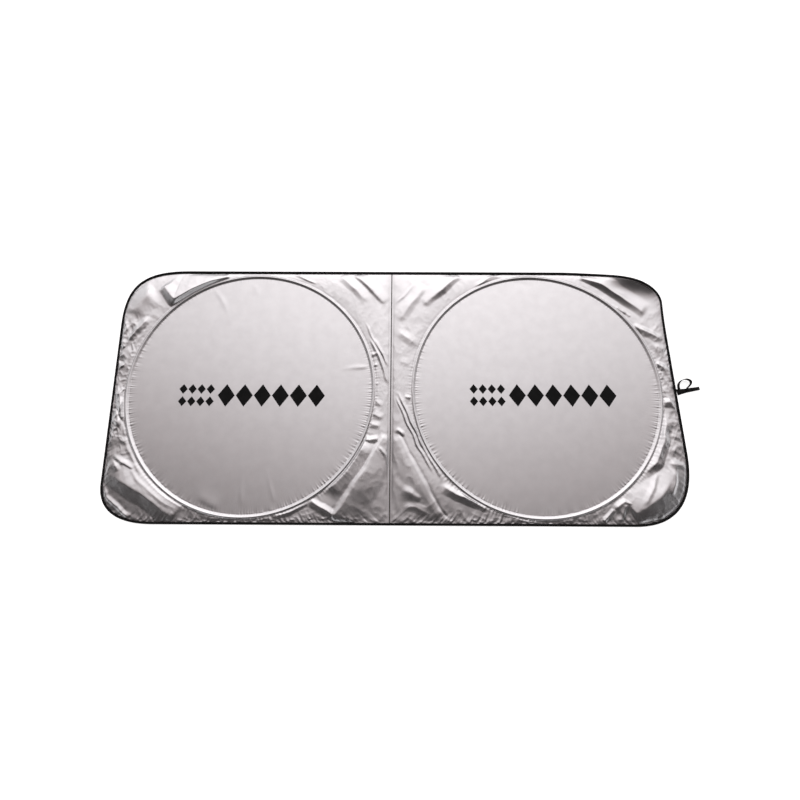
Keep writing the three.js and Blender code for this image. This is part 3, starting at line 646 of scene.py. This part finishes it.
def make_binding():
    path, t, inward, curl = border_frame(BINDING_STEP)
    ripple = wavy(t, BINDING_WAVES, SEEDS["binding"])
    points = []
    for share, z in BINDING_SECTION:
        width, rise = BINDING_WIDTH, z + curl
        if z > UPPER_FOLD:
            width = binding_reach(inward) + BINDING_RIPPLE[0] * ripple
            rise = rise + BINDING_RIPPLE[1] * ripple
        flat = path + inward * (share * width * np.ones(len(t)))[:, None]
        points.append(np.stack([flat[:, 0], flat[:, 1], np.maximum(rise, BINDING_FLOOR)], 1))
    stacked = np.stack(points, 1)
    size = len(BINDING_SECTION)
    return make_mesh("binding_tape", stacked.reshape(-1, 3), sweep_faces(len(t), size, True))


# Tapes behind the rings, and a painted-shade strip in the middle seam: their sections, across and
# up
RING_TAPE_SECTION = [
    (-6, 0.05), (-5.4, 0.0), (5.4, 0.0), (6, 0.05), (6, 0.5), (5.2, 0.58), (4.2, 0.44),
    (-4.2, 0.44), (-5.2, 0.58), (-6, 0.5),
]
RING_TAPE_STEPS = 720
RING_TAPE_DRIFT = 0.35
RING_TAPE_INNER_SHARE = -0.6
SEAM_SHADE_STRIP_SECTION = [
    (-1.9, 0.62), (1.9, 0.62), (1.9, 0.74), (0.3, 0.82), (-0.3, 0.82), (-1.9, 0.74),
]
SEAM_SHADE_STRIP_STEPS = 200
SEAM_SHADE_STRIP_DRIFT, SEAM_SHADE_STRIP_CELL = 0.14, 40


def make_ring_tape(side):
    """Tape sewn behind a ring: slightly uneven in width, with thicker folded edges."""
    steps, size = RING_TAPE_STEPS, len(RING_TAPE_SECTION)
    angle = np.arange(steps) * 2 * math.pi / steps
    drift = RING_TAPE_DRIFT * wavy(angle * RING_RADIUS, TAPE_WAVES, SEEDS["ring_tape"])
    points = []
    for a, uneven in zip(angle, drift):
        for offset, z in RING_TAPE_SECTION:
            share = 1 if offset > 0 else RING_TAPE_INNER_SHARE
            radius = RING_RADIUS + offset + uneven * share
            x = SIDES[side] * RING_SPACING / 2 + radius * math.cos(a)
            points.append((x, radius * math.sin(a), z))
    return make_mesh(f"{side}_sewn_tape", np.array(points), sweep_faces(steps, size, True))


def make_seam_shade_strip():
    """Strip at the bottom of the groove between the panels, dark as painted shade of the groove."""
    reach = HALF_HEIGHT - BINDING_WIDTH
    y = np.linspace(-reach, reach, SEAM_SHADE_STRIP_STEPS)
    drift = SEAM_SHADE_STRIP_DRIFT * value_noise(y, y * 0, SEAM_SHADE_STRIP_CELL, SEEDS["seam_shade_strip"])
    points = [[(SEAM_X + x + d, at, z) for x, z in SEAM_SHADE_STRIP_SECTION] for at, d in zip(y, drift)]
    size = len(SEAM_SHADE_STRIP_SECTION)
    last = (len(y) - 1) * size
    faces = sweep_faces(len(y), size, False)
    faces += [tuple(range(size)), tuple(reversed(range(last, last + size)))]
    return make_mesh("middle_seam_shade_strip", np.array(points).reshape(-1, 3), faces)


# Elastic strap: out from the edge, folded back at its tip, then turned on edge and curled into
# an upright loop. Its loop follows the photograph and not the solid's
STRAP_WIDTH = 8.0
STRAP_THICKNESS = 1.2
STRAP_REACH = 53.0
STRAP_TILT = math.radians(10.5)
STRAP_Y = -2.0
STRAP_BASE = 15.0
STRAP_ROUNDING = 0.32
LOOP_LENGTH, LOOP_WIDTH = 36.0, 30.0
# The loop's points, as shares of its length along the strap and of its width across it
LOOP = [
    (0.45, 0.12), (0.52, 0.21), (0.67, 0.32), (0.8, 0.48), (0.82, 0.64), (0.72, 0.78),
    (0.53, 0.87), (0.29, 0.83), (0.07, 0.67), (-0.05, 0.42), (-0.07, 0.17),
]


def strap_route():
    """Stations of the strap, each as its place along, across and up, its twist and its width:
    those that lie flat, and those of the way back, which are smoothed."""
    low = STRAP_THICKNESS / 2
    high = low + STRAP_THICKNESS + CLEARANCE
    on_edge = STRAP_THICKNESS + CLEARANCE + STRAP_WIDTH / 2
    tip = STRAP_REACH - STRAP_THICKNESS
    rows = [
        (0, 0, low, 0, STRAP_BASE), (STRAP_REACH * 0.15, 0, low, 0, STRAP_BASE * 0.84),
        (STRAP_REACH * 0.4, 0, low, 0, STRAP_WIDTH * 1.2), (tip, 0, low, 0, STRAP_WIDTH),
        (STRAP_REACH, 0, (low + high) / 2, 0, STRAP_WIDTH), (tip, 0, high, 0, STRAP_WIDTH),
    ]
    back = [
        (STRAP_REACH * 0.8, 0, high, 0, STRAP_WIDTH),
        (STRAP_REACH * 0.62, 0.6, high * 0.8 + on_edge * 0.2, 25, STRAP_WIDTH),
        (STRAP_REACH * 0.47, 2.0, on_edge, 70, STRAP_WIDTH),
    ]
    for along, over in LOOP:
        out = STRAP_WIDTH * 0.75 + along * LOOP_LENGTH
        back.append((out, over * LOOP_WIDTH, on_edge, 90, STRAP_WIDTH))
    return np.array(rows, float), np.array(back, float)


def smooth_rows(rows, steps=6):
    """Stations with a smooth curve through all of them."""
    padded = np.concatenate([[2 * rows[0] - rows[1]], rows, [2 * rows[-1] - rows[-2]]])
    out = []
    for k in range(1, len(padded) - 2):
        p0, p1, p2, p3 = padded[k - 1: k + 3]
        for t in np.arange(steps) / steps:
            out.append(0.5 * (2 * p1 + (p2 - p0) * t + (2 * p0 - 5 * p1 + 4 * p2 - p3) * t ** 2
                              + (3 * p1 - p0 - 3 * p2 + p3) * t ** 3))
    out.append(rows[-1])
    return np.array(out)


def make_strap():
    edge = border_at("right", np.array([STRAP_Y / (RIGHT_REACH - RING_SPACING / 2)]))[0]
    start_x = edge[0, 0] + CLEARANCE + STRAP_BASE / 2 * math.sin(STRAP_TILT)
    outward, back = strap_route()
    rows = np.concatenate([outward, smooth_rows(back)])
    cos, sin = math.cos(STRAP_TILT), math.sin(STRAP_TILT)
    centres = np.stack([
        start_x + rows[:, 0] * cos - rows[:, 1] * sin,
        STRAP_Y + rows[:, 0] * sin + rows[:, 1] * cos,
        rows[:, 2],
    ], 1)
    corner = STRAP_THICKNESS * STRAP_ROUNDING
    up = Vector((0, 0, 1))
    points = []
    for k, (_, _, _, twist, width) in enumerate(rows):
        tangent = Vector(centres[min(k + 1, len(rows) - 1)] - centres[max(k - 1, 0)]).normalized()
        level = Vector((-sin, cos, 0)) if twist == 0 else tangent.cross(up).normalized()
        wide = level * math.cos(math.radians(twist)) + up * math.sin(math.radians(twist))
        thick = tangent.cross(wide).normalized()
        w, h = width / 2, STRAP_THICKNESS / 2
        section = [(-w, -h + corner), (-w + corner, -h), (w - corner, -h), (w, -h + corner),
                   (w, h - corner), (w - corner, h), (-w + corner, h), (-w, h - corner)]
        points += [Vector(centres[k]) + wide * a + thick * b for a, b in section]
    size = len(section)
    last = (len(rows) - 1) * size
    faces = sweep_faces(len(rows), size, False)
    faces += [tuple(reversed(range(size))), tuple(range(last, last + size))]
    return make_mesh("strap_elastic", np.array(points), faces)


# Stitches: short lengths of thread, thick in the middle, along a path of points
THREAD_SIDES = 5
THREAD_RADIUS = 0.18
THICK_PART = 0.28
RING_STITCH, RING_STITCH_SPACING, RING_STITCH_RISE = 2.3, 3.2, 0.15
BINDING_STITCH, BINDING_STITCH_SPACING = 2.4, 3.3
BINDING_STITCH_INSET, BINDING_STITCH_Z = 1.3, 2.5


def make_stitches(name, centres, directions, length):
    template = [(-length / 2, 0, 0), (length / 2, 0, 0)]
    for at in (-length * THICK_PART, length * THICK_PART):
        for k in range(THREAD_SIDES):
            angle = 2 * math.pi * k / THREAD_SIDES
            template.append((at, THREAD_RADIUS * math.cos(angle), THREAD_RADIUS * math.sin(angle)))
    template = np.array(template)
    near, far = 2, 2 + THREAD_SIDES
    faces = []
    for k in range(THREAD_SIDES):
        n = (k + 1) % THREAD_SIDES
        faces += [(0, near + n, near + k), (1, far + k, far + n),
                  (near + k, near + n, far + n, far + k)]
    count = len(template)
    side = np.stack([-directions[:, 1], directions[:, 0]], 1)
    flat = (centres[:, None, :2] + template[None, :, 0, None] * directions[:, None]
            + template[None, :, 1, None] * side[:, None])
    z = centres[:, None, 2] + template[None, :, 2]
    points = np.concatenate([flat, z[..., None]], 2).reshape(-1, 3)
    all_faces = [tuple(v + s * count for v in f) for s in range(len(centres)) for f in faces]
    return make_mesh(name, points, all_faces)


def ring_stitches(side, offset, name):
    radius = RING_RADIUS + offset
    count = int(2 * math.pi * radius / RING_STITCH_SPACING)
    angle = np.arange(count) * 2 * math.pi / count
    centre_x = SIDES[side] * RING_SPACING / 2
    share = np.interp(offset, *zip(*RIDGE_PROFILE))
    z = SHEET_Z + RING_STITCH_RISE + ridge_lift(side, angle) * share
    centres = np.stack([centre_x + radius * np.cos(angle), radius * np.sin(angle), z], 1)
    along = np.stack([-np.sin(angle), np.cos(angle)], 1)
    return make_stitches(name, centres, along, RING_STITCH)


def binding_stitches():
    path, _, inward, curl = border_frame(BINDING_STITCH_SPACING)
    flat = path + inward * (binding_reach(inward) - BINDING_STITCH_INSET)[:, None]
    centres = np.concatenate([flat, (BINDING_STITCH_Z + curl)[:, None]], 1)
    along = np.stack([inward[:, 1], -inward[:, 0]], 1)
    return make_stitches("binding_stitches", centres, along, BINDING_STITCH)


# Plain ornament where the real shade is printed: rows of diamonds on each disc. Each row has a
# start and a step along, a count, its places across and a diamond's half width and height
PRINT_RISE = 0.3
DIAMOND_ROWS = [
    (10, 21, 4, (-14.5, 14.5), 9.5, 11.5),
    (110, 41.5, 6, (0,), 19.5, 26.5),
]


def make_print(left_end, middle, name):
    z = SHEET_Z + PRINT_RISE
    points = []
    for start, step, count, across, half_width, half_height in DIAMOND_ROWS:
        for k in range(count):
            for above in across:
                x, y = left_end + start + k * step, middle + above
                points += [(x - half_width, y, z), (x, y - half_height, z),
                           (x + half_width, y, z), (x, y + half_height, z)]
    faces = [tuple(range(first, first + 4)) for first in range(0, len(points), 4)]
    return make_mesh(name, np.array(points), faces, smooth=False)


# Materials
def new_material(name, color, metallic, roughness):
    material = bpy.data.materials.new(name)
    material.use_nodes = True
    tree = material.node_tree
    shader = tree.nodes["Principled BSDF"]
    shader.inputs["Base Color"].default_value = (*color, 1)
    shader.inputs["Metallic"].default_value = metallic
    shader.inputs["Roughness"].default_value = roughness
    return material, tree, shader


def noise(tree, scale, detail=3.0):
    coords = tree.nodes.new("ShaderNodeTexCoord")
    node = tree.nodes.new("ShaderNodeTexNoise")
    node.inputs["Scale"].default_value = scale
    node.inputs["Detail"].default_value = detail
    tree.links.new(coords.outputs["Object"], node.inputs["Vector"])
    return node


def ramp(tree, source, low, high, start=0.35, end=0.65):
    node = tree.nodes.new("ShaderNodeValToRGB")
    for k, (position, color) in enumerate(((start, low), (end, high))):
        element = node.color_ramp.elements[k]
        element.position = position
        element.color = (*color, 1) if isinstance(color, tuple) else (color, color, color, 1)
    tree.links.new(source, node.inputs["Fac"])
    return node.outputs["Color"]


def mottle(tree, shader, socket, scale, low, high):
    """Soft unevenness of a color or a roughness, between two values."""
    spots = noise(tree, scale).outputs["Fac"]
    tree.links.new(ramp(tree, spots, low, high), shader.inputs[socket])


# The scale of a wave texture that has one band to a metre
WAVE_SCALE = 0.314
GRAIN_SCALE, GRAIN_DETAIL = 140, 4


def weave(tree, shader, pitch, depth, grain):
    """Over and under weave from two crossed waves, with a little unevenness."""
    coords = tree.nodes.new("ShaderNodeTexCoord")
    heights = []
    for direction in ("X", "Y"):
        wave = tree.nodes.new("ShaderNodeTexWave")
        wave.bands_direction = direction
        wave.inputs["Scale"].default_value = WAVE_SCALE / (pitch * MM)
        wave.inputs["Distortion"].default_value = 0.3
        tree.links.new(coords.outputs["Object"], wave.inputs["Vector"])
        heights.append(wave.outputs["Fac"])
    product = tree.nodes.new("ShaderNodeMath")
    product.operation = "MULTIPLY"
    tree.links.new(heights[0], product.inputs[0])
    tree.links.new(heights[1], product.inputs[1])
    first = tree.nodes.new("ShaderNodeBump")
    first.inputs["Distance"].default_value = depth * MM
    first.inputs["Strength"].default_value = 0.35
    tree.links.new(product.outputs[0], first.inputs["Height"])
    second = tree.nodes.new("ShaderNodeBump")
    second.inputs["Distance"].default_value = grain * MM
    second.inputs["Strength"].default_value = 0.5
    uneven = noise(tree, GRAIN_SCALE, GRAIN_DETAIL)
    tree.links.new(uneven.outputs["Fac"], second.inputs["Height"])
    tree.links.new(first.outputs["Normal"], second.inputs["Normal"])
    tree.links.new(second.outputs["Normal"], shader.inputs["Normal"])


silver, tree, shader = new_material("silver_taffeta", (0.62, 0.61, 0.62), 1.0, 0.33)
mottle(tree, shader, "Base Color", 40, (0.61, 0.6, 0.61), (0.64, 0.63, 0.64))
mottle(tree, shader, "Roughness", 60, 0.31, 0.36)
weave(tree, shader, 0.5, 0.03, 0.05)

tape, tree, shader = new_material("black_tape", (0.004, 0.004, 0.004), 0.0, 0.8)
mottle(tree, shader, "Base Color", 90, (0.003, 0.003, 0.003), (0.006, 0.005, 0.005))
shader.inputs["Specular IOR Level"].default_value = 0.12
weave(tree, shader, 0.8, 0.12, 0.2)

elastic, tree, shader = new_material("black_elastic", (0.005, 0.005, 0.005), 0.0, 0.7)
mottle(tree, shader, "Base Color", 120, (0.004, 0.004, 0.004), (0.008, 0.007, 0.007))
shader.inputs["Specular IOR Level"].default_value = 0.15
weave(tree, shader, 1.1, 0.25, 0.1)

steel, tree, shader = new_material("spring_wire", (0.45, 0.46, 0.48), 1.0, 0.3)
mottle(tree, shader, "Roughness", 300, 0.22, 0.4)

grey, tree, shader = new_material("channel_tape", (0.3, 0.3, 0.31), 0.0, 0.8)
mottle(tree, shader, "Base Color", 80, (0.26, 0.26, 0.27), (0.36, 0.36, 0.37))
weave(tree, shader, 0.8, 0.12, 0.1)

thread, tree, shader = new_material("silver_thread", (0.5, 0.5, 0.51), 0.0, 0.5)
mottle(tree, shader, "Base Color", 500, (0.42, 0.42, 0.43), (0.58, 0.58, 0.59))

black_thread, tree, shader = new_material("black_thread", (0.02, 0.02, 0.02), 0.0, 0.55)
mottle(tree, shader, "Base Color", 500, (0.014, 0.014, 0.014), (0.03, 0.03, 0.03))

ink, tree, shader = new_material("black_ink", (0.004, 0.004, 0.004), 0.0, 0.7)
mottle(tree, shader, "Base Color", 70, (0.003, 0.003, 0.003), (0.006, 0.006, 0.006))
shader.inputs["Specular IOR Level"].default_value = 0.12

# The strip under the middle seam stands for the pressed seam allowance; its dark grey-brown is
# painted shade of the groove, not the cloth's own colour
seam_painted_shade, tree, shader = new_material("seam_shade_strip", (0.075, 0.07, 0.068), 0.0, 0.8)
mottle(tree, shader, "Base Color", 90, (0.055, 0.05, 0.048), (0.1, 0.092, 0.09))
shader.inputs["Specular IOR Level"].default_value = 0.15


def dress(obj, material, replaced=()):
    obj.data.materials.clear()
    obj.data.materials.append(material)
    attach(obj, "root")
    if replaced:
        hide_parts(*replaced)
    return obj


# Pieces
for side in SIDES:
    panel = dress(make_panel(side), silver, [f"{side}_fabric_panel"])
    under = dress(make_ring_tape(side), grey, [f"{side}_channel_tape"])
    for offset, where in ((-4.3, "inner"), (3.3, "outer")):
        dress(ring_stitches(side, offset, f"{side}_{where}_ring_stitches"), thread)
dress(make_binding(), tape, ["edge_binding"])
dress(make_strap(), elastic, ["elastic_strap"])
dress(binding_stitches(), black_thread)
# Dark strip in the middle seam: painted shade of the groove between the panels
dress(make_seam_shade_strip(), seam_painted_shade)
dress(make_print(-494, -14, "left_ornament"), ink)
dress(make_print(175, -11, "right_ornament"), ink)

for side in SIDES:
    for part in ("spring_ring", "ring_ferrule"):
        materials = nodes[f"{side}_{part}"].data.materials
        materials.clear()
        materials.append(steel)


# Floor: pale, slightly glowing so that it stays white, with the shade's own soft shadow
FLOOR_HALF, FLOOR_Z = 5000, -0.25


def make_floor():
    corners = [(x * FLOOR_HALF, y * FLOOR_HALF, FLOOR_Z)
               for x, y in ((-1, -1), (1, -1), (1, 1), (-1, 1))]
    floor = make_mesh("studio_floor", np.array(corners, float), [(0, 1, 2, 3)], smooth=False)
    material, _, shader = new_material("floor_paper", (0.8, 0.8, 0.8), 0.0, 0.9)
    shader.inputs["Specular IOR Level"].default_value = 0.0
    shader.inputs["Emission Color"].default_value = (1, 1, 1, 1)
    shader.inputs["Emission Strength"].default_value = 0.72
    floor.data.materials.append(material)


make_floor()


# Soft studio light: bright towards the top of the photograph, dark behind the camera. Its level
# rises with y, falls to both sides and leans a little to the right. Above the shoulder it
# rises less, and it never falls below DARKEST
LIGHT_LEVEL, LIGHT_RISE = 0.65, 2.15
LIGHT_SIDE_FALL, LIGHT_LEAN = -0.82, 0.12
SHOULDER_RISE, SHOULDER_LEVEL = 0.75, 0.33
DARKEST = 0.04
WARM, NEUTRAL = (1.0, 0.895, 0.885), (1.0, 0.965, 0.97)
WARM_LEVEL, NEUTRAL_LEVEL = 0.65, 1.0
# Low down the surroundings are a pale band, up to these heights of the direction
PALE_BAND = (0.92, 0.92, 0.93, 1)
BAND_FULL, BAND_GONE = 0.24, 0.36


def math_node(tree, operation, *values):
    node = tree.nodes.new("ShaderNodeMath")
    node.operation = operation
    for k, value in enumerate(values):
        if isinstance(value, (int, float)):
            node.inputs[k].default_value = value
        else:
            tree.links.new(value, node.inputs[k])
    return node.outputs[0]


def make_world():
    world = bpy.data.worlds.new("studio")
    bpy.context.scene.world = world
    world.use_nodes = True
    tree = world.node_tree
    background = tree.nodes["Background"]
    coords = tree.nodes.new("ShaderNodeTexCoord")
    split = tree.nodes.new("ShaderNodeSeparateXYZ")
    tree.links.new(coords.outputs["Generated"], split.inputs[0])
    x, y, z = split.outputs
    rising = math_node(tree, "MULTIPLY_ADD", y, LIGHT_RISE, LIGHT_LEVEL)
    squared = math_node(tree, "MULTIPLY", x, x)
    level = math_node(tree, "MULTIPLY_ADD", squared, LIGHT_SIDE_FALL, rising)
    level = math_node(tree, "MULTIPLY_ADD", x, LIGHT_LEAN, level)
    shoulder = math_node(tree, "MULTIPLY_ADD", level, SHOULDER_RISE, SHOULDER_LEVEL)
    level = math_node(tree, "MAXIMUM", math_node(tree, "MINIMUM", level, shoulder), DARKEST)
    tint = ramp(tree, level, WARM, NEUTRAL, WARM_LEVEL, NEUTRAL_LEVEL)
    glow = tree.nodes.new("ShaderNodeVectorMath")
    glow.operation = "SCALE"
    tree.links.new(tint, glow.inputs[0])
    tree.links.new(level, glow.inputs["Scale"])
    high = tree.nodes.new("ShaderNodeMapRange")
    high.interpolation_type = "SMOOTHSTEP"
    high.inputs["From Min"].default_value = BAND_FULL
    high.inputs["From Max"].default_value = BAND_GONE
    tree.links.new(z, high.inputs["Value"])
    mix = tree.nodes.new("ShaderNodeMix")
    mix.data_type = "RGBA"
    tree.links.new(high.outputs[0], mix.inputs["Factor"])
    # The mix node's sockets for colors: A is 6, B is 7 and the result is 2
    mix.inputs[6].default_value = PALE_BAND
    tree.links.new(glow.outputs[0], mix.inputs[7])
    tree.links.new(mix.outputs[2], background.inputs["Color"])


make_world()

# Camera: as fitted to the photograph, nearly overhead and tipped a little to the far edge
CAMERA_LENS, CAMERA_SENSOR = 18.59, 36
CAMERA_PLACE = (0.0188, -0.2294, 0.9251)
CAMERA_TURNS = ((0.20, "Y"), (12.58, "X"), (0.31, "Z"))

camera_data = bpy.data.cameras.new("camera")
camera_data.lens = CAMERA_LENS
camera_data.sensor_width = CAMERA_SENSOR
camera = bpy.data.objects.new("camera", camera_data)
bpy.context.scene.collection.objects.link(camera)
placing = Matrix.Translation(CAMERA_PLACE)
for degrees, axis in CAMERA_TURNS:
    placing = placing @ Matrix.Rotation(math.radians(degrees), 4, axis)
camera.matrix_world = placing
bpy.context.scene.camera = camera
bpy.context.scene.view_settings.view_transform = "Standard"

bpy.context.view_layer.update()
